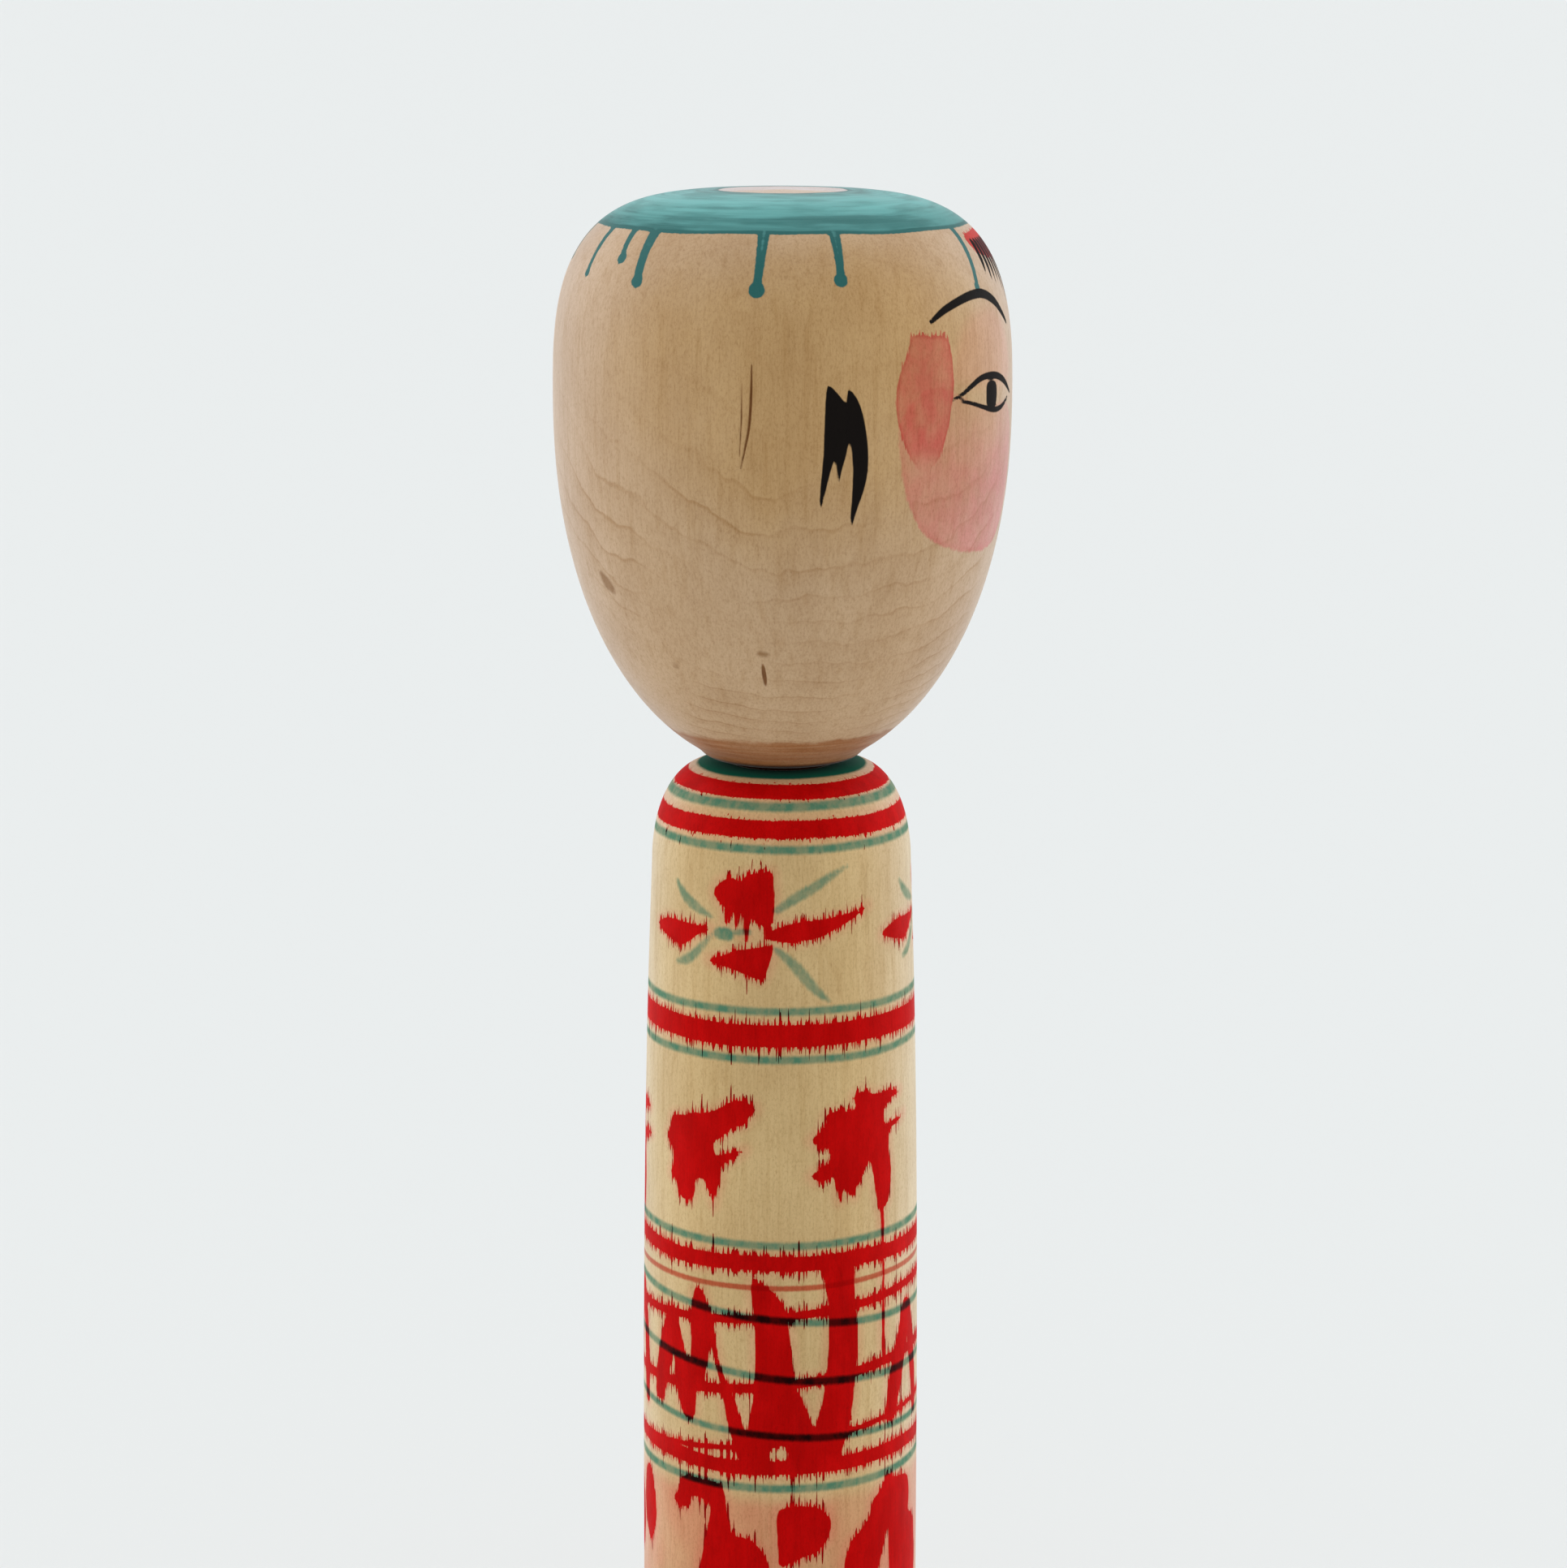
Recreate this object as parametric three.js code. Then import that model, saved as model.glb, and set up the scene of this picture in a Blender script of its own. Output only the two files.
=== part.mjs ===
// Kokeshi doll: two pieces turned on a lathe from one kind of wood.
// The body is a slim column with a rounded shoulder. The head ends in a neck whose bulb was forced
// into an undercut socket in the top of the body, so the head turns but does not come out.
// Millimetres, +Z up. The origin is the centre of the base, and the painted face looks along -Y.

import * as THREE from 'three';

// Driving dimensions.
const totalHeight = 242; // eight sun, a customary size
const headDiameter = 64;
const footDiameter = 40.3;
const bodyHeight = 161.6; // up to the seat that the head turns on
const clearance = 0.3; // gap between the head and the body, all the way round

// Body.
const footRadius = footDiameter / 2;
const shoulderStart = bodyHeight - 15.7; // height at which the column turns in to the shoulder
const columnTaper = 1.6; // how much thinner the column is at the shoulder than at the foot
const taperPower = 3.7; // keeps the lower half of the column almost straight
const shoulderPowers = { across: 2.25, along: 2.3 };
const seatRadius = 9.9; // outer edge of the flat ring that carries the head
const footRounding = 0.9;
const centreMarkRadius = 2.4; // cone left in the base by the lathe's centre
const centreMarkDepth = 1.2;

// Head.
const headRadius = headDiameter / 2;
const headMiddle = 213.8; // height of the head's widest circle
const crownHeight = totalHeight - headMiddle;
const crownPowers = { across: 4.2, along: 2.8 }; // a flat crown that turns quickly into the sides
const chinDepth = 53.4; // how far down the lower half would reach if it closed
const chinPowers = { across: 2.03, along: 2.22 };
const chinEndRadius = 12.1; // where the chin's curve stops and the neck is cut in
const neckRadius = 10.4; // where the neck's side turns under
const neckRise = 0.7; // how far the underside climbs from the tenon out to there

// Neck joint: a bulb on the end of a round tenon, in a socket of the same shape.
const tenonRadius = 6.8;
const bulbRadius = 8;
const bulbHeight = bodyHeight - 10.5; // height of the bulb's widest circle
const bulbRise = 4.2; // from the widest circle up to the tenon
const tipRadius = 5.6;
const tipHeight = bodyHeight - 17.5;

const turns = 48; // flat sides around each turned piece
const woodColour = 0xc8aa7d;

const point = (radius, height) => new THREE.Vector2(Math.max(radius, 0), height);

// A quarter of a superellipse centred on (centreRadius, centreHeight), with one power across and one
// along the axis. angleFrom and angleTo are 0 at its widest circle and a quarter turn at its top; a
// negative height gives the lower quarter.
function roundedQuarter({ centreRadius, centreHeight, width, height, powers, angleFrom, angleTo, steps }) {
  const points = [];
  for (let step = 0; step <= steps; step += 1) {
    const angle = THREE.MathUtils.lerp(angleFrom, angleTo, step / steps);
    const across = Math.max(Math.cos(angle), 0) ** (2 / powers.across);
    const along = Math.abs(Math.sin(angle)) ** (2 / powers.along);
    points.push(point(centreRadius + width * across, centreHeight + height * along));
  }
  return points;
}

// The bulb's side: two half waves, from the tenon out to the widest circle and in to the tip.
// spare widens it and lowers its tip, which turns the bulb into the socket that holds it.
function bulbOutline(spare) {
  const shaft = tenonRadius + spare;
  const widest = bulbRadius + spare;
  const tip = tipRadius + spare;
  const bottom = tipHeight - spare;
  const outline = [];
  const steps = 4;
  for (let step = 0; step <= steps; step += 1) {
    const wave = (1 - Math.cos((Math.PI * step) / steps)) / 2;
    outline.push(point(
      THREE.MathUtils.lerp(shaft, widest, wave),
      bulbHeight + bulbRise * (1 - step / steps),
    ));
  }
  for (let step = 1; step <= steps; step += 1) {
    const arc = Math.cos((Math.PI / 2) * (step / steps));
    outline.push(point(
      THREE.MathUtils.lerp(tip, widest, arc),
      THREE.MathUtils.lerp(bulbHeight, bottom, step / steps),
    ));
  }
  return outline;
}

// The column gets thinner towards the shoulder by a power of the height.
function columnRadius(height) {
  return footRadius - columnTaper * (height / shoulderStart) ** taperPower;
}

function bodyOutline() {
  const base = [
    point(0, centreMarkDepth),
    point(centreMarkRadius, 0),
    point(footRadius - footRounding, 0),
    point(footRadius - footRounding * 0.3, footRounding * 0.3),
  ];
  const column = [];
  const steps = 9;
  for (let step = 0; step < steps; step += 1) {
    const height = THREE.MathUtils.lerp(footRounding, shoulderStart, step / steps);
    column.push(point(columnRadius(height), height));
  }
  const shoulder = roundedQuarter({
    centreRadius: seatRadius,
    centreHeight: shoulderStart,
    width: columnRadius(shoulderStart) - seatRadius,
    height: bodyHeight - shoulderStart,
    powers: shoulderPowers,
    angleFrom: 0,
    angleTo: Math.PI / 2,
    steps: 10,
  });
  const socket = bulbOutline(clearance);
  const mouth = point(socket[0].x, bodyHeight);
  const floorCentre = point(0, socket.at(-1).y);
  return [...base, ...column, ...shoulder, mouth, ...socket, floorCentre];
}

function headOutline() {
  const tenon = bulbOutline(0).reverse();
  const underside = bodyHeight + clearance;
  const tenonTop = point(tenonRadius, underside);
  // The lower half stops where the neck is cut in.
  const chinEndAngle = Math.acos((chinEndRadius / headRadius) ** (chinPowers.across / 2));
  const chin = roundedQuarter({
    centreRadius: 0,
    centreHeight: headMiddle,
    width: headRadius,
    height: -chinDepth,
    powers: chinPowers,
    angleFrom: chinEndAngle,
    angleTo: 0,
    steps: 16,
  });
  const crown = roundedQuarter({
    centreRadius: 0,
    centreHeight: headMiddle,
    width: headRadius,
    height: crownHeight,
    powers: crownPowers,
    angleFrom: 0,
    angleTo: Math.PI / 2,
    steps: 16,
  });
  return [
    point(0, tipHeight),
    ...tenon,
    tenonTop,
    point(neckRadius, underside + neckRise),
    ...chin,
    ...crown.slice(1),
  ];
}

// Spins an outline that starts and ends on the axis, and stands the result up along +Z.
function turnedPiece(name, outline) {
  const geometry = new THREE.LatheGeometry(outline, turns);
  geometry.rotateX(Math.PI / 2);
  const wood = new THREE.MeshStandardMaterial({ color: woodColour, roughness: 0.42, metalness: 0 });
  const piece = new THREE.Mesh(geometry, wood);
  piece.name = name;
  return piece;
}

const doll = new THREE.Group();
doll.add(turnedPiece('body', bodyOutline()));
doll.add(turnedPiece('head', headOutline()));

export default doll;
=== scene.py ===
"""A kokeshi doll: two turned pieces of pale wood, dyed, brushed with ink and waxed.

The smooth pieces are spun from the outlines of the CAD pieces. Everything painted on them is laid out
on their surface in degrees round the turning axis and millimetres above the base. 0 degrees is the
middle of the face, 90 is the doll's right side, which the camera sees, and 180 is its back.
"""

import math

import bpy
import numpy as np
from mathutils import Matrix, Vector


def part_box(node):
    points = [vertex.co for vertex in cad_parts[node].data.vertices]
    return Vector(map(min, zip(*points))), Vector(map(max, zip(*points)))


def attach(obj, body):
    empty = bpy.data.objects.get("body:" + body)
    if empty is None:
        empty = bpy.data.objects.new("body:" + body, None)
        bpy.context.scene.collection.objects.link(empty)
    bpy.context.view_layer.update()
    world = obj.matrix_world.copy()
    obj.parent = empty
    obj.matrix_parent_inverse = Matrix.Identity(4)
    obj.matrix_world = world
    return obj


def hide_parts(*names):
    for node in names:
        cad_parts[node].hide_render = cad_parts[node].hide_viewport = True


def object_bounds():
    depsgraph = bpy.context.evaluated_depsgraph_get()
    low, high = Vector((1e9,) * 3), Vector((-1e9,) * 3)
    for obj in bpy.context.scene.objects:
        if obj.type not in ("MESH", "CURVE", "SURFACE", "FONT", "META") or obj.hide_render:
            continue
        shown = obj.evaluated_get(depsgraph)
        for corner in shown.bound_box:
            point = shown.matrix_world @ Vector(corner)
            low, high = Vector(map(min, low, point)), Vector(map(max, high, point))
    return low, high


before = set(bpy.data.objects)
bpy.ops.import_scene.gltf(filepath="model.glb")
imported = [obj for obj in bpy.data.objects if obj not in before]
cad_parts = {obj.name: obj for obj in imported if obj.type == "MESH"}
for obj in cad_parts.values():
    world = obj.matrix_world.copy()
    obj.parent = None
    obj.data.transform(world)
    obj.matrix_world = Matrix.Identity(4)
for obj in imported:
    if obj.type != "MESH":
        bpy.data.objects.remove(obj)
cad_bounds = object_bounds()

DOLL_HEIGHT = cad_bounds[1].z
PAINTED_HEIGHT = 241.07  # the doll's height in the millimetres that the painting is laid out in
PAINT_MM = DOLL_HEIGHT / PAINTED_HEIGHT  # one of the painting's millimetres, in metres

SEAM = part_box("body")[1].z / PAINT_MM  # height of the seat that the head turns on
FAR = 4.0  # mm, the largest distance from paint that is kept
SAME_PLACE = 0.01  # mm, closer vertices of a CAD piece are one


# ---------------- camera, stage and light

CAMERA_DISTANCE = 2.2486 * DOLL_HEIGHT  # from the turning axis
CAMERA_HEIGHT = 1.1213 * DOLL_HEIGHT
CAMERA_PITCH = 11.754  # degrees down
CAMERA_ROLL = 0.133  # degrees, the doll leans this much in the view
CAMERA_ASIDE = 0.0011 * DOLL_HEIGHT  # towards the face
LENS = 89.6  # mm, on a sensor 36 mm wide
SENSOR = 36.0


def make_camera():
    """Looks along +X from the doll's right side, a little from above."""
    camera = bpy.data.cameras.new("camera")
    camera.lens = LENS
    camera.sensor_width = SENSOR
    camera.clip_start = 0.01
    camera.clip_end = 50.0
    holder = bpy.data.objects.new("camera", camera)
    bpy.context.scene.collection.objects.link(holder)
    pitch = math.radians(CAMERA_PITCH)
    towards = Vector((math.cos(pitch), 0.0, -math.sin(pitch)))
    aim = towards.to_track_quat("-Z", "Y").to_matrix().to_4x4()
    roll = Matrix.Rotation(math.radians(CAMERA_ROLL), 4, "Z")
    place = Matrix.Translation((-CAMERA_DISTANCE, -CAMERA_ASIDE, CAMERA_HEIGHT))
    holder.matrix_world = place @ aim @ roll
    bpy.context.scene.camera = holder


def make_floor():
    """A wide pale floor. It is all that the camera sees behind the doll."""
    reach = 80.0
    corners = [(-reach, -reach, 0), (reach, -reach, 0), (reach, reach, 0), (-reach, reach, 0)]
    mesh = bpy.data.meshes.new("floor")
    mesh.from_pydata(corners, [], [(0, 1, 2, 3)])
    floor = bpy.data.objects.new("floor", mesh)
    bpy.context.scene.collection.objects.link(floor)
    material = bpy.data.materials.new("floor")
    material.use_nodes = True
    shader = material.node_tree.nodes["Principled BSDF"]
    shader.inputs["Base Color"].default_value = (0.755, 0.775, 0.77, 1)
    shader.inputs["Roughness"].default_value = 0.9
    shader.inputs["Specular IOR Level"].default_value = 0.1
    mesh.materials.append(material)


def make_sun(name, towards, strength, spread):
    """Soft light from a wide round patch of sky. towards points from the doll to its middle."""
    light = bpy.data.lights.new(name, "SUN")
    light.energy = strength
    light.angle = math.radians(spread)
    holder = bpy.data.objects.new(name, light)
    bpy.context.scene.collection.objects.link(holder)
    holder.rotation_euler = Vector(towards).to_track_quat("Z", "Y").to_euler()


def make_light():
    """A pale room with a bright window on either side, which makes the doll's edges lighter."""
    world = bpy.data.worlds.new("room")
    bpy.context.scene.world = world
    world.use_nodes = True
    room = world.node_tree.nodes["Background"]
    room.inputs["Color"].default_value = (0.97, 0.985, 1.0, 1)
    room.inputs["Strength"].default_value = 0.60
    make_sun("face_side", (0.3, -1.0, 0.4), 1.35, 60)
    make_sun("back_side", (0.3, 1.0, 0.4), 1.45, 60)
    make_sun("above", (0.25, 0.0, 1.0), 0.6, 70)
    bpy.context.scene.view_settings.view_transform = "Standard"


# ---------------- outlines of the turned pieces

CORNER = 35.0  # degrees, an outline that turns more than this at a point has a real edge there
EDGE_ROUNDING = 0.25  # mm cut back from each real edge
EDGE_SPACING = 0.1  # mm between the rings on a rounded edge
SAMPLES = 12  # curve points between two outline points


def cad_outline(node):
    """The CAD piece's outline as (radius, height) in mm, from the lower of its ends on the axis."""
    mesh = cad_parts[node].data
    places = np.empty(len(mesh.vertices) * 3)
    mesh.vertices.foreach_get("co", places)
    places = places.reshape(-1, 3) / PAINT_MM
    in_half_plane = (np.abs(places[:, 1]) < SAME_PLACE) & (places[:, 0] > -SAME_PLACE)
    keys = [tuple(point) for point in np.round(places[:, [0, 2]] / SAME_PLACE).astype(int)]
    neighbours = {}
    for edge in mesh.edges:
        first, second = edge.vertices
        if in_half_plane[first] and in_half_plane[second] and keys[first] != keys[second]:
            neighbours.setdefault(keys[first], set()).add(keys[second])
            neighbours.setdefault(keys[second], set()).add(keys[first])
    walk = [min((key for key in neighbours if key[0] == 0), key=lambda key: key[1])]
    while True:
        onward = [key for key in neighbours[walk[-1]] if key not in walk[-2:]]
        if not onward:
            break
        walk.append(onward[0])
    return np.array(walk, float) * SAME_PLACE


def turning_angles(points):
    """Degrees that an outline turns at each of its inner points."""
    steps = np.diff(points, axis=0)
    headings = np.degrees(np.arctan2(steps[:, 1], steps[:, 0]))
    turns = np.diff(headings)
    return np.abs((turns + 180) % 360 - 180)


def smooth_through(points, samples, closed=False):
    """A Catmull-Rom curve through the points, whatever number of values each holds."""
    points = np.asarray(points, float)
    if closed:
        padded = np.concatenate([points[-1:], points, points[:2]])
    else:
        padded = np.concatenate([2 * points[:1] - points[1:2], points, 2 * points[-1:] - points[-2:-1]])
    share = np.linspace(0, 1, samples, endpoint=False)[:, None]
    pieces = []
    for before, start, end, after in zip(padded, padded[1:], padded[2:], padded[3:]):
        pieces.append(
            start
            + 0.5 * share * (end - before)
            + share**2 * (before - 2.5 * start + 2 * end - 0.5 * after)
            + share**3 * (1.5 * (start - end) + 0.5 * (after - before))
        )
    if not closed:
        pieces.append(points[-1:])
    return np.concatenate(pieces)


def distance_along(points):
    """How far along the polyline each of its points is."""
    return np.concatenate([[0], np.cumsum(np.linalg.norm(np.diff(points, axis=0), axis=1))])


def points_at(stops, along, points):
    return np.stack([np.interp(stops, along, points[:, axis]) for axis in range(2)], axis=1)


def even_stops(count, places):
    """The places where the running count goes up by 1, or as near to 1 as an even split allows."""
    return np.interp(np.linspace(0, count[-1], round(count[-1]) + 1), count, places)


def cut_back(points, from_start, from_end):
    """The polyline without a stretch of EDGE_ROUNDING at the ends asked for."""
    along = distance_along(points)
    low = EDGE_ROUNDING if from_start else 0.0
    high = along[-1] - (EDGE_ROUNDING if from_end else 0.0)
    kept = (along > low) & (along < high)
    return points_at(np.concatenate([[low], along[kept], [high]]), along, points)


def rounded_edge(before, corner, after):
    """Points of a small arc from one stretch of an outline to the next."""
    share = np.linspace(0, 1, 7)[1:-1, None]
    return (1 - share) ** 2 * before + 2 * share * (1 - share) * corner + share**2 * after


def ring_outline(node, spacing_at):
    """Where the rings of a piece's mesh lie: a smooth version of the CAD outline with rounded edges."""
    outline = cad_outline(node)
    corners = [i + 1 for i, turn in enumerate(turning_angles(outline)) if turn > CORNER]
    stops = [0, *corners, len(outline) - 1]
    curve = []
    spacing = []
    for start, end in zip(stops, stops[1:]):
        stretch = smooth_through(outline[start : end + 1], SAMPLES)
        stretch = cut_back(stretch, start in corners, end in corners)
        if curve:
            edge = rounded_edge(curve[-1][-1], outline[start], stretch[0])
            curve.append(edge)
            spacing.append(np.full(len(edge), EDGE_SPACING))
        curve.append(stretch)
        spacing.append(spacing_at(*stretch.T))
    curve = np.concatenate(curve)
    spacing = np.concatenate(spacing)
    curve = np.clip(curve, outline.min(axis=0), outline.max(axis=0))
    lengths = np.linalg.norm(np.diff(curve, axis=0), axis=1)
    along = distance_along(curve)
    count = np.concatenate([[0], np.cumsum(lengths / np.minimum(spacing[1:], spacing[:-1]))])
    return points_at(even_stops(count, along), along, curve)


def spread_angles(spacing_at):
    """Angles once round, in degrees, as far apart as spacing_at(angle) says."""
    step = 0.05
    fine = np.arange(-180, 180, step)
    count = np.concatenate([[0], np.cumsum(step / spacing_at(fine))])
    return even_stops(count, np.append(fine, 180.0))[:-1]


# ---------------- painting on a turned piece


class Canvas:
    """The outside of a turned piece as a grid of rings and columns.

    Each layer holds, for every grid point, the distance in mm to the edge of what is painted in it,
    below 0 inside the paint. Strokes are flat shapes bent round the piece: across is measured on
    each ring's own circle, and up is measured along the outline.
    """

    def __init__(self, rings, angles, lowest):
        self.rings = rings
        self.angles = angles
        self.layers = {}
        self.radius = rings[:, 0]
        self.height = rings[:, 1]
        self.along = distance_along(rings)
        top = int(np.flatnonzero(self.height > self.height.max() - SAME_PLACE)[-1])
        first = int(np.argmax(self.height > lowest))
        self.outside = slice(first, top + 1)

    def along_at(self, height):
        rows = self.outside
        return np.interp(height, self.height[rows], self.along[rows])

    def radius_at(self, height):
        rows = self.outside
        return np.interp(height, self.height[rows], self.radius[rows])

    def layer(self, name):
        shape = (len(self.rings), len(self.angles))
        return self.layers.setdefault(name, np.full(shape, FAR))

    def lay(self, name, rows, columns, distance):
        """Adds to a layer: where shapes meet, the paint is all of them."""
        patch = self.layer(name)[np.ix_(rows, columns)]
        self.layer(name)[np.ix_(rows, columns)] = np.minimum(patch, distance)

    def near(self, angles, heights, margin):
        """The grid points around some places, and both flattened about the places' middle angle."""
        middle = (angles.min() + angles.max()) / 2
        flat_x = self.radius_at(heights) * np.radians(angles - middle)
        flat_y = self.along_at(heights)
        rows = np.arange(self.outside.start, self.outside.stop)
        low, high = flat_y.min() - margin, flat_y.max() + margin
        rows = rows[(self.along[rows] > low) & (self.along[rows] < high)]
        turned = (self.angles - middle + 180) % 360 - 180
        reach = (np.abs(flat_x).max() + margin) / self.radius[rows].min()
        columns = np.flatnonzero(np.abs(np.radians(turned)) < reach)
        grid_x = self.radius[rows, None] * np.radians(turned[columns])[None, :]
        grid_y = np.broadcast_to(self.along[rows, None], grid_x.shape)
        return rows, columns, grid_x, grid_y, flat_x, flat_y

    def stroke(self, name, path, widths, samples=6):
        """A brush stroke through (angle, height) points, with its width in mm at each."""
        path = np.asarray(path, float)
        thick = np.interp(np.linspace(0, 1, len(path)), np.linspace(0, 1, len(widths)), widths)
        path = smooth_through(np.column_stack([path, thick]), samples)
        half = np.maximum(path[:, 2], 0.02) / 2
        rows, columns, grid_x, grid_y, x, y = self.near(path[:, 0], path[:, 1], FAR + half.max())
        nearest = np.full(grid_x.shape, FAR)
        for i in range(len(x) - 1):
            step_x, step_y = x[i + 1] - x[i], y[i + 1] - y[i]
            length = max(step_x**2 + step_y**2, 1e-9)
            share = ((grid_x - x[i]) * step_x + (grid_y - y[i]) * step_y) / length
            share = np.clip(share, 0, 1)
            gap = np.hypot(grid_x - x[i] - share * step_x, grid_y - y[i] - share * step_y)
            nearest = np.minimum(nearest, gap - half[i] - share * (half[i + 1] - half[i]))
        self.lay(name, rows, columns, nearest)

    def shape(self, name, outline, samples=4):
        """A filled shape with a smooth outline through (angle, height) points."""
        outline = smooth_through(outline, samples, closed=True)
        rows, columns, grid_x, grid_y, x, y = self.near(outline[:, 0], outline[:, 1], FAR)
        nearest = np.full(grid_x.shape, FAR**2)
        inside = np.zeros(grid_x.shape, bool)
        for i in range(len(x)):
            x0, y0, x1, y1 = x[i - 1], y[i - 1], x[i], y[i]
            length = max((x1 - x0) ** 2 + (y1 - y0) ** 2, 1e-9)
            share = np.clip(((grid_x - x0) * (x1 - x0) + (grid_y - y0) * (y1 - y0)) / length, 0, 1)
            gap_x = grid_x - x0 - share * (x1 - x0)
            gap_y = grid_y - y0 - share * (y1 - y0)
            nearest = np.minimum(nearest, gap_x**2 + gap_y**2)
            if y0 != y1:
                crosses = ((y0 > grid_y) != (y1 > grid_y)) & (
                    grid_x < x0 + (grid_y - y0) * (x1 - x0) / (y1 - y0)
                )
                inside ^= crosses
        distance = np.sqrt(nearest)
        self.lay(name, rows, columns, np.where(inside, -distance, distance))

    def ring(self, name, lower, upper, tilt=0.0, high_side=0.0, wander=0.06):
        """A ring between two heights. A tilted one is highest at the angle high_side."""
        turn = np.radians(self.angles)
        middle = (self.along_at(lower) + self.along_at(upper)) / 2
        width = self.along_at(upper) - self.along_at(lower)
        centre = middle + tilt * np.cos(turn - math.radians(high_side))
        centre = centre + wander * np.sin(3 * turn + lower) + wander / 2 * np.sin(7 * turn + 2 * lower)
        rows = np.arange(self.outside.start, self.outside.stop)
        rows = rows[np.abs(self.along[rows] - middle) < FAR + abs(tilt) + width]
        distance = np.abs(self.along[rows, None] - centre[None, :]) - width / 2
        self.lay(name, rows, np.arange(len(self.angles)), np.minimum(distance, FAR))

    def add_climb(self, name):
        """Adds the layer name_climb: mm up or down along the grain from each point to the paint."""
        paint = self.layer(name)
        climb = np.full(paint.shape, FAR)
        rows = range(self.outside.start, self.outside.stop)
        for order in (rows, reversed(rows)):
            order = list(order)
            reached = np.full(paint.shape[1], FAR)
            for before, row in zip(order, order[1:]):
                step = abs(self.along[row] - self.along[before])
                from_edge = step * paint[row] / np.maximum(paint[row] - paint[before], 1e-6)
                reached = np.where(paint[before] < 0, from_edge, reached + step)
                reached = np.where(paint[row] < 0, 0, np.minimum(reached, FAR))
                climb[row] = np.minimum(climb[row], reached)
        self.layers[name + "_climb"] = climb


def shifted(points, angle, height, flip=1, stretch=1.0):
    """A shape's (angle, height) points moved to a place, mirrored where flip is -1."""
    return [(angle + flip * stretch * a, height + stretch * h) for a, h in points]


# ---------------- the head's painting

CROWN_RING_INSIDE = 8.8  # mm, radius of the bare disc in the middle of the crown
CROWN_RING_EDGE = 236.5  # height of the dyed ring's lower edge
DRIPS = [  # angle at the ring, angle and height of the end, width, width of the end
    (153.5, 153.0, 230.6, 1.0, 1.3), (141.0, 139.0, 232.9, 1.0, 1.7), (131.5, 130.5, 230.2, 1.5, 2.0),
    (95.5, 96.5, 229.6, 1.25, 2.2), (74.5, 75.0, 230.8, 1.2, 1.9), (26.5, 30.0, 228.9, 1.0, 1.4),
    (-29.0, -27.0, 229.6, 1.0, 1.5), (-58.0, -60.0, 231.5, 1.1, 1.7), (-71.0, -70.0, 229.0, 1.3, 2.0),
    (-102.0, -101.0, 230.4, 1.2, 1.9), (-124.0, -126.5, 232.6, 1.0, 1.6), (-133.0, -133.5, 229.4, 1.4, 2.1),
    (-166.0, -165.0, 230.8, 1.1, 1.8), (176.0, 175.0, 232.2, 1.0, 1.5),
]

BROW = [
    (51, 225), (46, 226.4), (40, 227.4), (34, 228), (28, 228), (22, 226.9), (17.5, 225.3), (13.5, 223.6),
]
BROW_WIDTHS = [0.6, 1.0, 1.15, 1.25, 1.35, 1.3, 1.0, 0.6]
UPPER_LID = [
    (44.6, 214.5), (41, 215.1), (37, 216.1), (33, 216.9), (28, 217.1), (23, 216.7), (18, 215.7),
    (12.5, 214),
]
UPPER_LID_WIDTHS = [0.4, 0.6, 0.8, 0.9, 0.95, 1.0, 0.9, 0.45]
LOWER_LID = [
    (41.2, 214.2), (37, 213.7), (32, 213.0), (28, 212.5), (24, 212.3), (20, 212.6), (15.5, 213.5),
]
LOWER_LID_WIDTHS = [0.5, 0.55, 0.65, 0.8, 0.8, 0.7, 0.45]
PUPIL = [
    (30.3, 214.6), (30, 216.0), (27.5, 216.4), (24.8, 215.9), (24.2, 214.4), (25, 212.9), (27.5, 212.5),
    (30, 213.1),
]

SIDEBURN = [
    (79.3, 217.3), (77.6, 216.7), (76, 215.7), (74.7, 215), (74.3, 216.8), (72.4, 215.8), (71, 214.2),
    (70, 212), (69.2, 209), (69.1, 206), (70, 203.3), (71.4, 201), (73.1, 198), (73, 202),
    (72.9, 206), (73.7, 210), (74.8, 207.8), (75.7, 206), (76.6, 203.8), (76.8, 205.6), (77.3, 207.6),
    (78.5, 205.8), (79.6, 203.2), (80.9, 200.6), (80.8, 204), (80.2, 208), (80, 212), (79.8, 215),
]
CHEEK_STROKE = [
    (56.5, 223.3), (51, 223.1), (46.3, 222.8), (44.6, 220), (44.2, 216.5), (45.2, 213), (46.8, 209.5),
    (49.5, 206.5), (53.5, 205.2), (57, 206.8), (60.2, 210), (61.8, 214), (61.2, 217.5), (59.2, 220.5),
]
CHEEK_WASH = [
    (60.8, 212), (60.4, 207), (58.3, 202), (54.5, 198.4), (50, 196), (44, 194.6), (37, 193.6),
    (30, 193), (22, 193), (15, 194), (10.5, 197), (8.8, 202), (10, 208), (14, 212), (20, 213.2),
    (28, 212.8), (36, 213.8), (42, 215), (47, 216), (54, 216),
]
BROW_WASH = [
    (44, 217), (43, 221), (38, 224.5), (30, 226), (21, 225.3), (15, 221), (14, 216.5), (24, 215.5),
    (35, 216),
]

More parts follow.
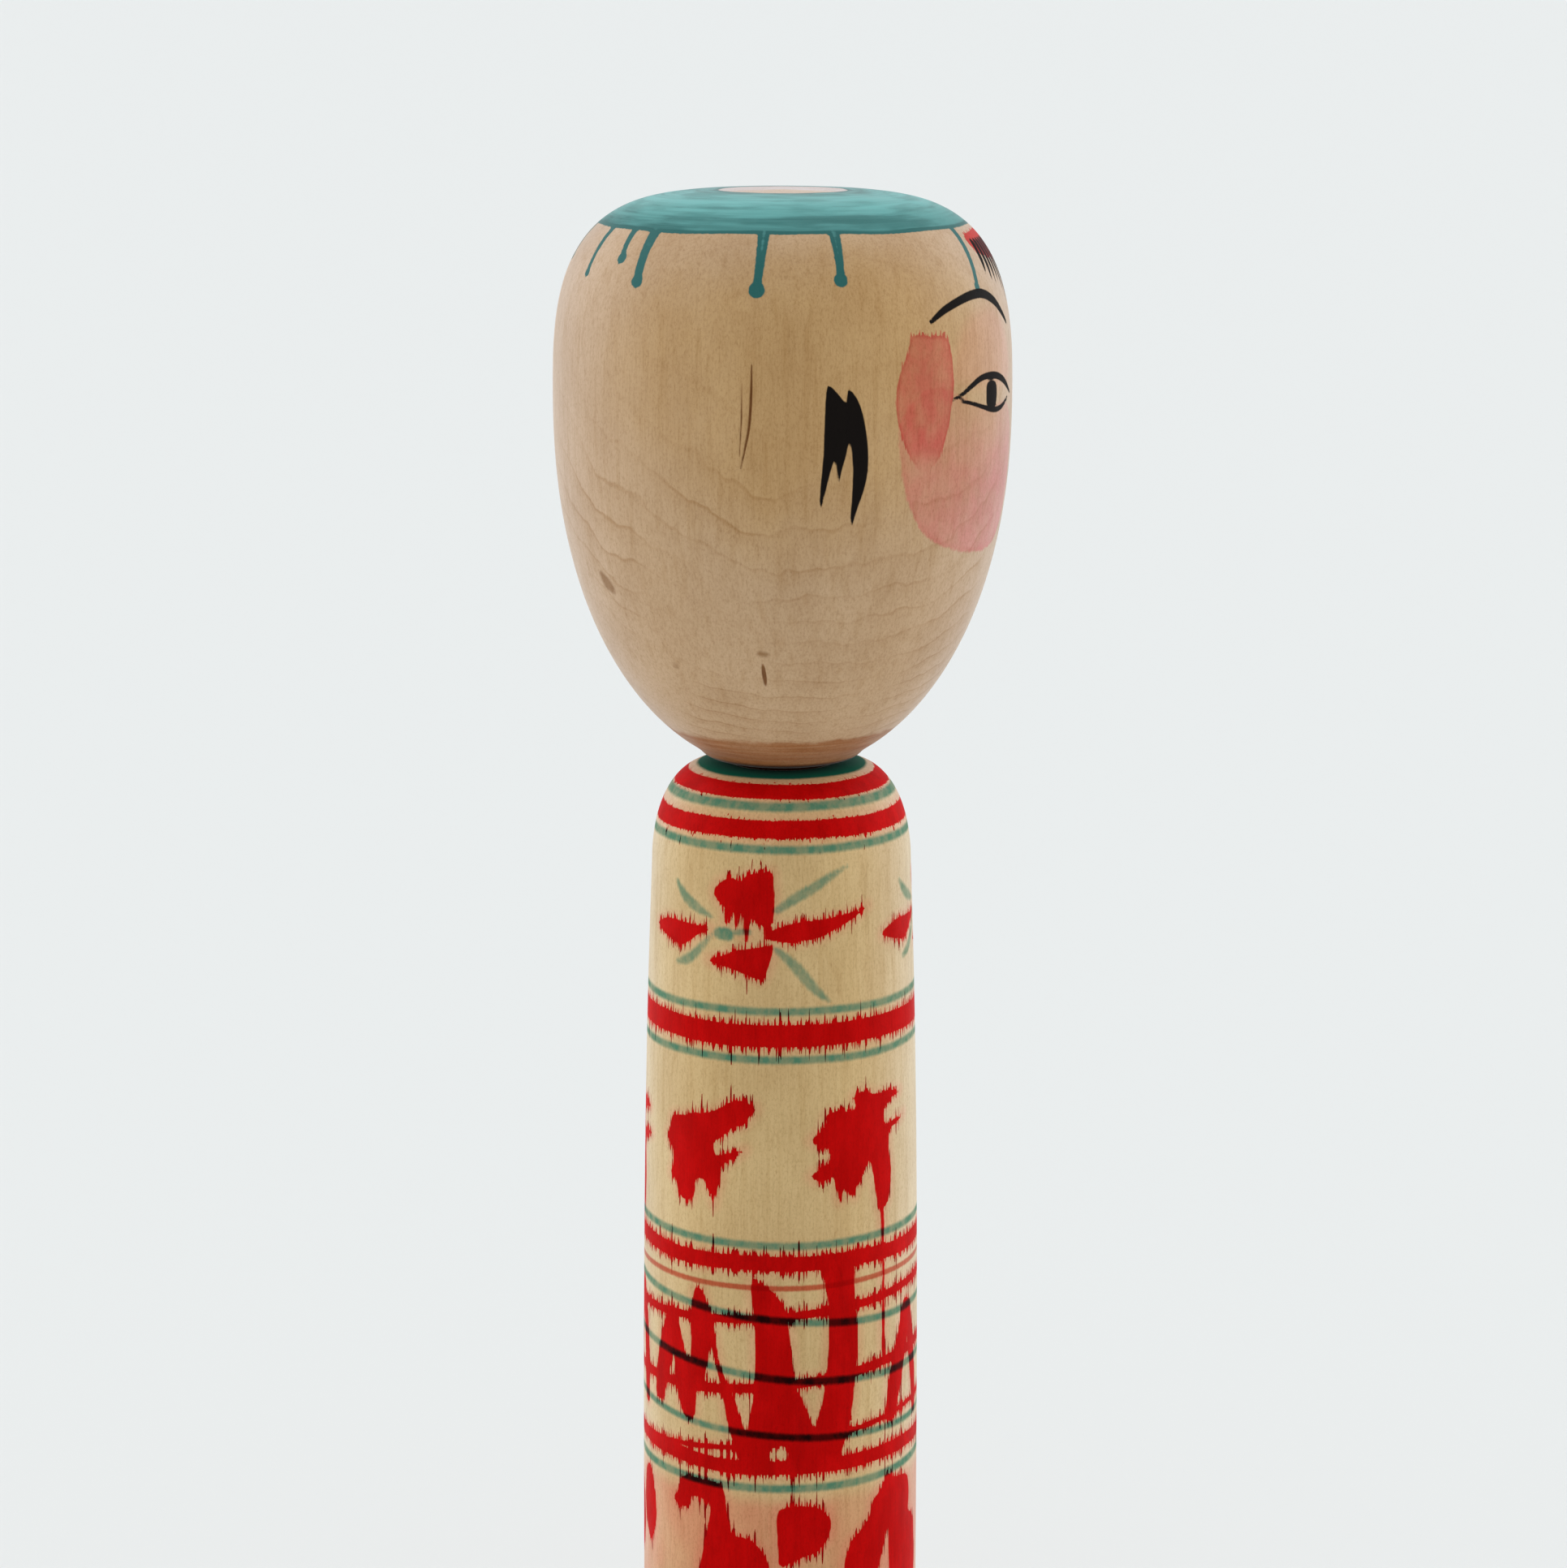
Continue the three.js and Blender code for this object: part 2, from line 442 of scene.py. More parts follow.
FRINGE_WIDTH = 21.0  # degrees to either side of the face's middle
FRINGE_STROKES = 15
FRINGE_ROOTS = 234.0  # height
FRINGE_PATCH = [
    (23, 235.4), (12, 235.9), (0, 236), (-12, 235.9), (-23, 235.4), (-21.5, 233.4), (-12, 232.4),
    (0, 232), (12, 232.4), (21.5, 233.4),
]
NOSE = [(2.0, 209.5), (1.7, 206), (2.3, 203), (4.6, 202.1), (5.6, 203.4)]
NOSE_WIDTHS = [0.45, 0.5, 0.65, 0.65, 0.45]
FACE_STROKES = [
    (BROW, BROW_WIDTHS), (UPPER_LID, UPPER_LID_WIDTHS), (LOWER_LID, LOWER_LID_WIDTHS), (NOSE, NOSE_WIDTHS),
]
UPPER_LIP = [(-5.2, 192.8), (-2.6, 193.7), (0, 193.1), (2.6, 193.7), (5.2, 192.8)]
LOWER_LIP = [(-3.4, 191.6), (0, 191), (3.4, 191.6)]

LONG_CRACK = [(97.3, 220), (97.4, 216), (98, 211.5), (99.9, 206.4)]
FAINT_CRACK = [(99.6, 217.5), (99.7, 213), (100.2, 208)]
SHORT_CRACK = [(95.8, 179.1), (95.5, 177.6), (95.2, 176)]
STAINS = [  # a smear and two specks
    ([(147, 190), (145, 188.8), (143, 188)], [1.0, 2.0, 1.2]),
    ([(96.5, 180.8), (94.5, 180.6)], [0.9, 0.7]),
    ([(125.2, 178.2), (125, 177.9)], [0.7, 0.6]),
]


def paint_crown(canvas):
    """A dyed ring on top of the head, with runs of dye below it that end in darker drops."""
    rows = np.arange(np.argmax(canvas.radius), canvas.outside.stop)
    along = canvas.along[rows]
    inner = np.interp(-CROWN_RING_INSIDE, -canvas.radius[rows], along)
    outer = canvas.along_at(CROWN_RING_EDGE)
    band = np.abs(along - (inner + outer) / 2) - (inner - outer) / 2
    wander = 0.12 * np.sin(np.radians(5 * canvas.angles)) + 0.07 * np.sin(np.radians(11 * canvas.angles))
    columns = np.arange(len(canvas.angles))
    canvas.lay("teal", rows, columns, np.minimum(band[:, None] + wander[None, :], FAR))
    for angle, end_angle, end_height, width, drop in DRIPS:
        middle = ((angle + end_angle) / 2, (CROWN_RING_EDGE + end_height) / 2)
        path = [(angle, CROWN_RING_EDGE + 0.6), middle, (end_angle, end_height)]
        canvas.stroke("teal", path, [width * 1.3, width, width * 0.9])
        tip = [(end_angle, end_height + 0.25), (end_angle, end_height)]
        canvas.stroke("teal", tip, [drop * 0.85, drop])
        canvas.stroke("run", path[1:], [width * 0.9, width])
        canvas.stroke("run", tip, [drop * 0.85, drop])


def paint_fringe(canvas):
    """Short tapering hairs over the forehead, under a red patch."""
    for i in range(FRINGE_STROKES):
        share = 2 * i / (FRINGE_STROKES - 1) - 1
        angle = FRINGE_WIDTH * share
        length = 3.2 + 4.6 * math.cos(share * math.pi / 2) + 0.7 * math.sin(5.0 * i)
        middle, tip = FRINGE_ROOTS - length * 0.5, FRINGE_ROOTS - length
        path = [(angle * 0.96, FRINGE_ROOTS + 0.6), (angle, middle), (angle * 1.05, tip)]
        canvas.stroke("ink", path, [1.1, 1.0, 0.15])
    canvas.shape("red", FRINGE_PATCH)


def paint_face(canvas):
    for side in (1, -1):
        for path, widths in FACE_STROKES:
            canvas.stroke("ink", shifted(path, 0, 0, side), widths)
        canvas.shape("ink", shifted(PUPIL, 0, 0, side))
        canvas.shape("ink", shifted(SIDEBURN, 0, 0, side), samples=2)
        canvas.shape("rouge", shifted(CHEEK_STROKE, 0, 0, side))
        canvas.shape("blush", shifted(CHEEK_WASH, 0, 0, side))
        canvas.shape("faint_blush", shifted(BROW_WASH, 0, 0, side))
    canvas.stroke("red", UPPER_LIP, [0.6, 1.1, 0.9, 1.1, 0.6])
    canvas.stroke("red", LOWER_LIP, [0.7, 1.3, 0.7])


def mark_wear(canvas):
    """Hairline cracks along the grain, and small stains."""
    canvas.stroke("crack", LONG_CRACK, [0.16, 0.36, 0.34, 0.16])
    canvas.stroke("crack", SHORT_CRACK, [0.4, 0.6, 0.35])
    canvas.stroke("crack", FAINT_CRACK, [0.1, 0.2, 0.12])
    for path, widths in STAINS:
        canvas.stroke("stain", path, widths)


def paint_head(canvas):
    paint_crown(canvas)
    paint_fringe(canvas)
    paint_face(canvas)
    mark_wear(canvas)
    canvas.add_climb("rouge")
    canvas.add_climb("red")


# ---------------- the body's painting

TOP_PETAL = [
    (13.2, 4.3), (11, 5.9), (5, 6.9), (1, 6.4), (-2, 7.4), (-7, 7.7), (-12.5, 8), (-13.6, 6.4), (-14, 4),
    (-13.7, 1.6), (-12, 0.2), (-8, 0.4), (-4, 1.4), (-1, 1.9), (2, 1.8), (6, 2.3), (10, 3),
]
NEAR_PETAL = [
    (50.5, -1.9), (44, -0.8), (38, -0.4), (31, -0.4), (23, -0.5), (14.5, -0.6), (21, -1.8), (26, -3),
    (31, -3.8), (37, -3.5), (45, -2.8),
]
LONG_PETAL = [
    (-9.5, -1.2), (-15, 0), (-22, 0.7), (-29, 1), (-38, 1.2), (-48, 1.7), (-57, 2.2), (-49, 0.7),
    (-41, -0.4), (-34, -1.4), (-26, -1.8), (-18, -2), (-12, -1.6),
]
LOW_PETAL = [
    (15.5, -5.2), (9, -4.3), (3, -3.4), (-3, -3), (-9, -2.6), (-13.5, -2.4), (-12.8, -4.2), (-11, -6.2),
    (-8.5, -7.3), (-3, -6.8), (5, -6),
]
FLOWER_LEAVES = [
    ([(35, 5.2), (29, 3.2), (22, 2), (14, 1)], [0.5, 1.5, 1.4, 0.3]),
    ([(-15, 2.5), (-23, 4.2), (-31, 5.6), (-39, 7.1), (-47, 8.3)], [0.9, 1.4, 1.4, 1.0, 0.3]),
    ([(33, -6.3), (27, -5.6), (21, -4), (14, -1.5)], [0.7, 1.4, 1.2, 0.4]),
    ([(-15, -3), (-22, -5), (-27, -7), (-32, -9), (-38, -10.6)], [0.8, 1.4, 1.5, 1.2, 0.3]),
    ([(6, -1), (0, -0.7), (-4, -0.7)], [0.6, 0.8, 0.5]),
]
FLOWER_DOT = [(10.5, -1.2), (6.5, -1.2)]
FLOWER_DROPS = [  # runs of dye in the middle of the flower
    [(-2, 2), (-1.8, -2)], [(6.5, 2.4), (6.8, 0.4)], [(2.4, 2), (2.2, 0.2)], [(-11.5, 1), (-11, -1.4)],
]
FLOWERS = [  # angle, height, flip, size
    (107, 141, 1, 1.0),
    (-7, 140.6, 1, 0.96),
    (-125, 141, -1, 0.98),
]

LEAF_A = [
    (22.5, 1), (20, 2.5), (18.5, 4.3), (12, 4.8), (7, 5.5), (1, 5.8), (-5, 6.5), (-11, 7.8), (-17, 8.3),
    (-20, 7.8), (-22.5, 7.2), (-20, 6), (-17, 4.7), (-13, 4.3), (-9, 3), (-4, 1.6), (-5.5, 0), (-11, 0.5),
    (-18, 1.2), (-13, -0.2), (-8, -1.5), (-7.5, -3.5), (-6, -5), (-4.5, -7.3), (-3.3, -5.8), (-1, -5.2),
    (0.5, -3.8), (4.5, -4.2), (5.5, -6.5), (9.5, -7.5), (14, -6.8), (16, -5), (19.5, -4.3), (17.7, -2.5),
    (18, -0.8),
]
LEAF_B = [
    (25.3, 2.6), (19.3, 4.5), (19, 6), (14, 6.6), (7.5, 6.2), (5.5, 7), (6.5, 8.2), (2, 8.9), (-3, 8.3),
    (-7, 8), (-14, 8), (-22, 7.3), (-16, 6.8), (-12, 6), (-9.5, 4.7), (-11, 3.3), (-18, 3.5), (-25, 3.7),
    (-19, 2.8), (-14, 2), (-13.5, -1), (-14.7, -3.5), (-14, -6.5), (-12.5, -8.2), (-10, -9), (-8.5, -10),
    (-6.5, -8.5), (-5, -6), (-3.5, -3.5), (-2, -1.5), (1, -2), (2.5, -4), (5.5, -5), (6.5, -6.2),
    (9, -5.5), (11, -4.8), (13, -6.5), (14.5, -4.5), (16, -3), (21, -3.4), (25.3, -2.6), (20, -1.1),
    (17.5, -0.8), (17, 1), (19.5, 1.4),
]
LEAVES = [  # shape, angle, height, flip, size
    (LEAF_A, 123, 108, 1, 1.0),
    (LEAF_B, 52, 108, 1, 1.0),
    (LEAF_B, 184, 104.5, 1, 1.0),
    (LEAF_A, -113, 108, -1, 1.05),
    (LEAF_B, -43, 108.5, -1, 0.95),
]
LEAF_RUN = [(43, 98.5), (42.8, 90), (42.3, 76)]  # a thin run of dye from the tip of the second leaf

FENCE = [
    (102, 89.6), (98.5, 90), (94, 88.9), (90.5, 87.6), (87.5, 85.5), (86, 82), (85.3, 78), (84.5, 75),
    (82, 73.5), (79, 71), (76, 68.5), (73.5, 71), (71.5, 74), (70.3, 79), (69.8, 85), (71.5, 90),
    (73.5, 92.6), (59.5, 92.6), (58, 88), (56.8, 83), (56.8, 78), (58, 74), (59.5, 70), (61.5, 67),
    (63.5, 65), (66, 63), (85, 63), (87, 65.2), (90.5, 66.2), (94, 65), (96, 63), (106, 63),
    (109, 65.5), (112, 69), (114.5, 73), (117.5, 77.5), (120.5, 81.5), (122.5, 86), (119, 84.5),
    (117, 80), (115, 76.8), (112, 74.8), (109.5, 73), (106.5, 70), (104, 67.8), (102.3, 70.5),
    (100.8, 74), (100.2, 79), (101, 85),
]
PALES = [  # brushed uprights: a path and its widths
    ([(141, 83.3), (143.5, 79.5), (147, 75), (150, 70.5)], [1.8, 3.2, 3.4, 2.6]),
    ([(139.5, 82.5), (136.5, 78), (133, 73.5), (131, 69.5)], [1.8, 2.4, 4.0, 2.6]),
    ([(125.5, 87), (124.6, 83), (125, 79), (127.5, 74)], [2.0, 3.6, 3.2, 3.0]),
    ([(25.5, 83.3), (29, 78), (34, 73), (37.5, 68)], [1.8, 3.2, 3.4, 2.6]),
    ([(23, 82.8), (19.5, 77), (16.5, 71), (15.5, 66.5)], [1.8, 2.3, 2.2, 1.7]),
]
PALE_PAIRS = [  # angle of the joined tops and how far apart the feet are, round the far side
    (172, 17), (202, 21), (232, 15), (262, 20), (292, 17), (322, 20), (350, 15),
]
PALE_TOP, PALE_FOOT = 85, 66  # heights
GREEN_CROSSING = [  # lower edge, upper edge, how far up its high side is, and the angle of that side
    (84.15, 85.25, 1.8, 190),
    (75.55, 76.65, 1.9, 188),
    (66.9, 67.9, 1.4, 188),
]
RED_CROSSING = [
    (84.0, 85.2, 1.9, 10),
    (73.8, 75.2, 2.1, 8),
    (65.3, 66.1, 2.6, 8),
]

BEND = [
    (139.5, 55.3), (136.5, 57), (134, 59.2), (125, 59.6), (114.5, 59.2), (112.5, 55.5), (110, 52.2),
    (105, 51.8), (101, 51.2), (97, 49.8), (94, 47), (93.5, 43), (96, 38.5), (101, 35), (108, 33.5),
    (116, 34.5), (122, 37.5), (125.5, 41.5), (125, 46), (122.5, 50), (120.5, 53.5), (120, 56), (124, 56.6),
    (129, 56.6), (131.5, 54.8), (136, 54.6),
]
BUD = [
    (90.7, 56), (84, 56.7), (77, 56.6), (71, 55.4), (68.6, 53.6), (70, 51.4), (75, 49.6), (81, 48.9),
    (86, 48.2), (90, 47.7), (91, 52),
]
SWEEP = [
    (40, 59), (35, 58), (29, 57.6), (23, 56.8), (21, 54), (21.5, 51.3), (17, 50.3), (13, 47.5), (12, 42),
    (15, 37), (21, 33.5), (28, 32.5), (34, 35), (37.5, 40), (38.3, 46), (39.5, 51.5), (41.5, 48.5),
    (45, 45), (49, 40.5), (54, 38), (60, 39), (63, 43), (62.5, 47), (59.5, 50.3), (54.5, 51.8),
    (50.5, 53.3), (48.5, 55.6), (43.5, 57),
]
PETAL = [
    (161, 58), (156, 55.5), (153.3, 51.5), (156, 48), (160, 46.6), (165, 48.5), (168.5, 52), (166, 56.5),
]
SMALL_PETALS = [  # how far PETAL is moved: degrees round, mm up
    (0, 0), (-86, -16.5), (-15, -17), (15, -3), (30, -18), (45, -5),
]

RINGS = [  # dye, lower edge, upper edge
    ("green", 160.68, 160.98), ("red", 158.45, 160.15), ("green", 157.0, 158.15), ("red", 153.4, 155.8),
    ("green", 151.4, 152.55), ("green", 128.6, 129.7), ("red", 124.1, 127.3), ("green", 121.7, 122.8),
    ("green", 94.9, 96.0), ("green", 58.8, 60.0), ("green", 24.0, 25.1), ("red", 18.8, 22.4),
    ("green", 15.9, 17.0), ("red", 8.1, 10.3), ("green", 5.4, 6.5),
]
UNEVEN_RINGS = [("red", 91.6, 93.8), ("red", 61.5, 63.6)]  # above and below the fence


def paint_rings(canvas):
    for dye, lower, upper in RINGS:
        canvas.ring(dye, lower, upper)
    for dye, lower, upper in UNEVEN_RINGS:
        canvas.ring(dye, lower, upper, wander=0.15)
    canvas.ring("thin_red", 88.8, 89.6, tilt=0.25, high_side=10)


def paint_flowers(canvas):
    for angle, height, flip, size in FLOWERS:
        for petal in (TOP_PETAL, NEAR_PETAL, LONG_PETAL, LOW_PETAL):
            canvas.shape("red", shifted(petal, angle, height, flip, size))
        for path, widths in FLOWER_LEAVES:
            canvas.stroke("leaf_green", shifted(path, angle, height, flip, size), widths)
        canvas.stroke("green", shifted(FLOWER_DOT, angle, height, flip, size), [1.7, 1.9])
        for drop in FLOWER_DROPS:
            canvas.stroke("red", shifted(drop, angle, height, flip, size), [0.9, 0.6])


def paint_leaves(canvas):
    for leaf, angle, height, flip, size in LEAVES:
        canvas.shape("red", shifted(leaf, angle, height, flip, size), samples=3)
    canvas.stroke("red", LEAF_RUN, [0.7, 0.62, 0.66])


def paint_fence(canvas):
    """Three green and three red rings that cross, under brushed uprights that lean together."""
    for lower, upper, spread, high_side in GREEN_CROSSING:
        canvas.ring("green", lower, upper, spread, high_side)
    for lower, upper, spread, high_side in RED_CROSSING:
        canvas.ring("red", lower, upper, spread, high_side)
    canvas.shape("red", FENCE)
    for path, widths in PALES:
        canvas.stroke("red", path, widths)
    for angle, spread in PALE_PAIRS:  # each a little longer or shorter, as brushed by hand
        foot = PALE_FOOT + 3 * math.sin(angle)
        top = PALE_TOP + 2 * math.cos(2.0 * angle)
        for side, width in ((1, 3.4), (-1, 2.6)):
            bend = (angle + side * spread * 0.35, top - 7)
            path = [(angle, top), bend, (angle + side * spread / 2, foot)]
            canvas.stroke("red", path, [1.8, width, width * 0.7])


def paint_skirt(canvas):
    """Large brushed petals on the lowest part of the body, above the closing rings."""
    for shape in (BEND, BUD, SWEEP):
        canvas.shape("red", shape)
    canvas.shape("red", shifted(SWEEP, 0, 0, -1))
    canvas.shape("red", shifted(SWEEP, -150, 0))
    for turn, rise in SMALL_PETALS:
        canvas.shape("red", shifted(PETAL, turn, rise))


def paint_body(canvas):
    paint_rings(canvas)
    paint_flowers(canvas)
    paint_leaves(canvas)
    paint_fence(canvas)
    paint_skirt(canvas)
    canvas.add_climb("red")


# ---------------- materials


class Graph:
    """Adds nodes to a material. A value given to a socket is either a number or another socket."""

    def __init__(self, name):
        self.material = bpy.data.materials.new(name)
        self.material.use_nodes = True
        self.tree = self.material.node_tree
        self.shader = self.tree.nodes["Principled BSDF"]
        coordinates = self.tree.nodes.new("ShaderNodeTexCoord").outputs["Object"]
        self.place = self.vector("SCALE", coordinates, 1 / PAINT_MM)  # in mm
        self.colour = (1, 1, 1)

    def feed(self, socket, value):
        if isinstance(value, bpy.types.NodeSocket):
            self.tree.links.new(value, socket)
        elif isinstance(value, tuple) and len(value) == 3 and socket.type == "RGBA":
            socket.default_value = (*value, 1)
        else:
            socket.default_value = value

    def math(self, operation, first, second=0.0, third=0.0):
        node = self.tree.nodes.new("ShaderNodeMath")
        node.operation = operation
        for socket, value in zip(node.inputs, (first, second, third)):
            self.feed(socket, value)
        return node.outputs[0]

    def vector(self, operation, first, second):
        node = self.tree.nodes.new("ShaderNodeVectorMath")
        node.operation = operation
        self.feed(node.inputs[0], first)
        self.feed(node.inputs["Scale" if operation == "SCALE" else 1], second)
        return node.outputs["Value" if operation == "LENGTH" else 0]

    def painted(self, name):
        node = self.tree.nodes.new("ShaderNodeAttribute")
        node.attribute_name = name
        return node.outputs["Fac"]

    def noise(self, size, detail=2.0, place=None, **settings):
        """Noise from 0 to 1 around 0.5. size is in mm: one number, or one for each of X, Y and Z."""
        sizes = size if isinstance(size, tuple) else (size, size, size)
        node = self.tree.nodes.new("ShaderNodeTexNoise")
        shrunk = self.vector("MULTIPLY", place or self.place, tuple(1 / s for s in sizes))
        self.feed(node.inputs["Vector"], shrunk)
        node.inputs["Scale"].default_value = 1.0
        node.inputs["Detail"].default_value = detail
        for key, value in settings.items():
            node.inputs[key.capitalize()].default_value = value
        return node.outputs["Fac"]

    def ramp(self, value, low, high, to_low=0.0, to_high=1.0, smooth=True):
        """value carried from low..high to to_low..to_high, and held there beyond."""
        node = self.tree.nodes.new("ShaderNodeMapRange")
        node.interpolation_type = "SMOOTHSTEP" if smooth else "LINEAR"
        for socket, number in zip(node.inputs, (value, low, high, to_low, to_high)):
            self.feed(socket, number)
        return node.outputs["Result"]

    def blend(self, share, under, over, kind="MIX"):
        """Lays the colour over on under, as much as share says: mixed, or multiplied."""
        node = self.tree.nodes.new("ShaderNodeMix")
        node.data_type = "RGBA"
        node.blend_type = kind
        colours = [socket for socket in node.inputs if socket.type == "RGBA"]
        self.feed(node.inputs["Factor"], share)
        self.feed(colours[0], under)
        self.feed(colours[1], over)
        return [socket for socket in node.outputs if socket.type == "RGBA"][0]

    def add(self, base, value, times):
        return self.math("MULTIPLY_ADD", value, times, base)

    def product(self, first, *others):
        for other in others:
            first = self.math("MULTIPLY", first, other)
        return first

    def dye(self, tone, *shares):
        """Soaks tone into the surface's colour, as much as the product of the shares says."""
        self.colour = self.blend(self.product(*shares), self.colour, tone, "MULTIPLY")

    def cover(self, share, tone):
        """Lays tone over the surface's colour, as much as share says."""
        self.colour = self.blend(share, self.colour, tone)

    def split(self, vector):
        node = self.tree.nodes.new("ShaderNodeSeparateXYZ")
        self.feed(node.inputs[0], vector)
        return node.outputs

    def join(self, x, y, z):
        node = self.tree.nodes.new("ShaderNodeCombineXYZ")
        for socket, value in zip(node.inputs, (x, y, z)):
            self.feed(socket, value)
        return node.outputs[0]


def wood_grain(graph, pith, lean, rise, ring_width, clearest, near_pith, away, turn_at):
    """Pale fine-grained wood: growth rings round a pith that lies off the axis, with the grain along Z.

    The wood leans by lean mm for each mm of height, and its rings by rise mm more. They are ring_width
    mm apart and show as strongly as clearest says. The colour goes from near_pith to away at turn_at mm
    from the pith. It is painted paler all round except on the doll's right side, which the camera sees: a
    painted reflection of the white room on the edges in view, and painted shade on the side facing the
    camera. Returns a height for bump, and the fibre noise.
    """
    wave = graph.noise((13, 13, 20), detail=3, roughness=0.5)
    ripple = graph.noise((2.6, 2.6, 3.2), detail=2)
    x, y, height = graph.split(graph.place)
    from_pith_x = graph.math("SUBTRACT", x, pith[0])
    from_pith_y = graph.math("SUBTRACT", y, pith[1])
    distance = graph.vector("LENGTH", graph.join(from_pith_x, from_pith_y, 0.0), (0, 0, 0))
    distance = graph.add(distance, height, lean)
    distance = graph.add(distance, wave, 3.6)
    distance = graph.add(distance, ripple, 0.7)
    graph.colour = graph.blend(graph.ramp(distance, turn_at - 2.5, turn_at + 2.5), near_pith, away)
    # Painted reflection and shade: the wood is made paler and bluer all round except on the doll's right
    # side, so the edges in view look lit by the white room and the side facing the camera looks shaded.
    turned = graph.math("DIVIDE", x, graph.vector("LENGTH", graph.join(x, y, 0.0), (0, 0, 0)))
    graph.dye((1.06, 1.19, 1.52), graph.ramp(turned, -0.9, -0.15))

    risen = graph.add(distance, height, rise)
    ring = graph.math("FRACT", graph.math("DIVIDE", risen, ring_width))
    line = graph.product(graph.ramp(ring, 0.80, 0.95), graph.ramp(ring, 1.0, 0.96))
    band = graph.product(graph.ramp(ring, 0.2, 0.95), 0.35)
    strength = graph.ramp(graph.noise((15, 15, 24), detail=1), 0.36, 0.66, 0.12, clearest)
    line = graph.product(graph.math("MAXIMUM", line, band), strength)
    graph.dye((0.80, 0.72, 0.62), line)

    cloud = graph.ramp(graph.noise((9, 9, 14), detail=4), 0.32, 0.68)
    graph.dye((0.92, 0.895, 0.87), cloud)
    fibre = graph.noise((0.3, 0.3, 5.0), detail=3, roughness=0.65)
    streak = graph.noise((1.2, 1.2, 26.0), detail=2)
    graph.dye((0.90, 0.875, 0.84), graph.ramp(fibre, 0.4, 0.75))
    graph.dye((0.91, 0.875, 0.82), graph.ramp(streak, 0.45, 0.8))
    speck = graph.ramp(graph.noise((0.28, 0.28, 0.5), detail=3, roughness=0.7), 0.45, 0.70)
    graph.dye((0.86, 0.82, 0.77), speck)
    pore = graph.ramp(graph.noise((0.16, 0.16, 1.3), detail=1), 0.66, 0.78)
    graph.dye((0.62, 0.50, 0.38), pore, 0.4)
    relief = graph.add(fibre, pore, -0.8)
    return relief, fibre


def spot(graph, distance, softness, ragged=0.0, noise=None):
    """1 inside paint, 0 outside, with a soft edge that noise may make ragged."""
    if noise is not None:
        shift = graph.product(graph.math("SUBTRACT", noise, 0.5), ragged)
        distance = graph.math("ADD", distance, shift)
    return graph.ramp(distance, softness, -softness)


def spikes(graph, climb, width, low, high, longest, share=1.0):
    """Dye that crept along single fibres: 0 to longest mm for fibre noise from low to high, times share."""
    fibre = graph.noise((width, width, 70.0), detail=1.5, roughness=0.6)
    reach = graph.product(graph.ramp(fibre, low, high, 0.0, longest, smooth=False), share)
    return graph.ramp(graph.math("SUBTRACT", climb, reach), -0.12, 0.0, 1.0, 0.0)


def dried_edge(graph, distance, width):
    """1 on the rim of the paint, where the dye gathers as it dries, falling to 0 within width mm."""
    return graph.ramp(distance, -width, 0.0)


def finish_wax(graph, relief, painted_share):
    """Rubbed wax over wood and paint: satin, with the fibres and the turning marks just felt."""
    shader = graph.shader
    graph.feed(shader.inputs["Base Color"], graph.colour)
    patchy = graph.noise((6, 6, 14), detail=3)
    roughness = graph.ramp(patchy, 0.3, 0.7, 0.40, 0.52)
    roughness = graph.add(roughness, relief, 0.10)
    roughness = graph.add(roughness, painted_share, 0.05)
    graph.feed(shader.inputs["Roughness"], roughness)
    gloss = graph.add(0.08, painted_share, -0.05)
    graph.feed(shader.inputs["Specular IOR Level"], gloss)
    sheen = graph.add(0.2, painted_share, -0.17)
    graph.feed(shader.inputs["Sheen Weight"], sheen)
    shader.inputs["Sheen Roughness"].default_value = 0.3
    turning = graph.noise((60, 60, 0.35), detail=2)
    height = graph.add(relief, turning, 0.35)
    bump = graph.tree.nodes.new("ShaderNodeBump")
    bump.inputs["Strength"].default_value = 0.35
    bump.inputs["Distance"].default_value = 0.03 * PAINT_MM
    graph.feed(bump.inputs["Height"], height)
    graph.feed(shader.inputs["Normal"], bump.outputs["Normal"])


RINGS_FAINT, RINGS_CLEAR = 209.0, 200.0  # heights where the head's growth rings are faint and clear
BLUSH_FULL, BLUSH_FADED = 203, 214  # heights between which the blush gets fainter
ROUGE_NONE, ROUGE_FULL = 204.5, 209.5  # heights between which the rouge comes in
SKIRT = (23.0, 59.5)  # heights of the stretch of pink wood
SHOULDER_FOOT = (153.8, 150.0)  # below the upper one, dye creeps further and further


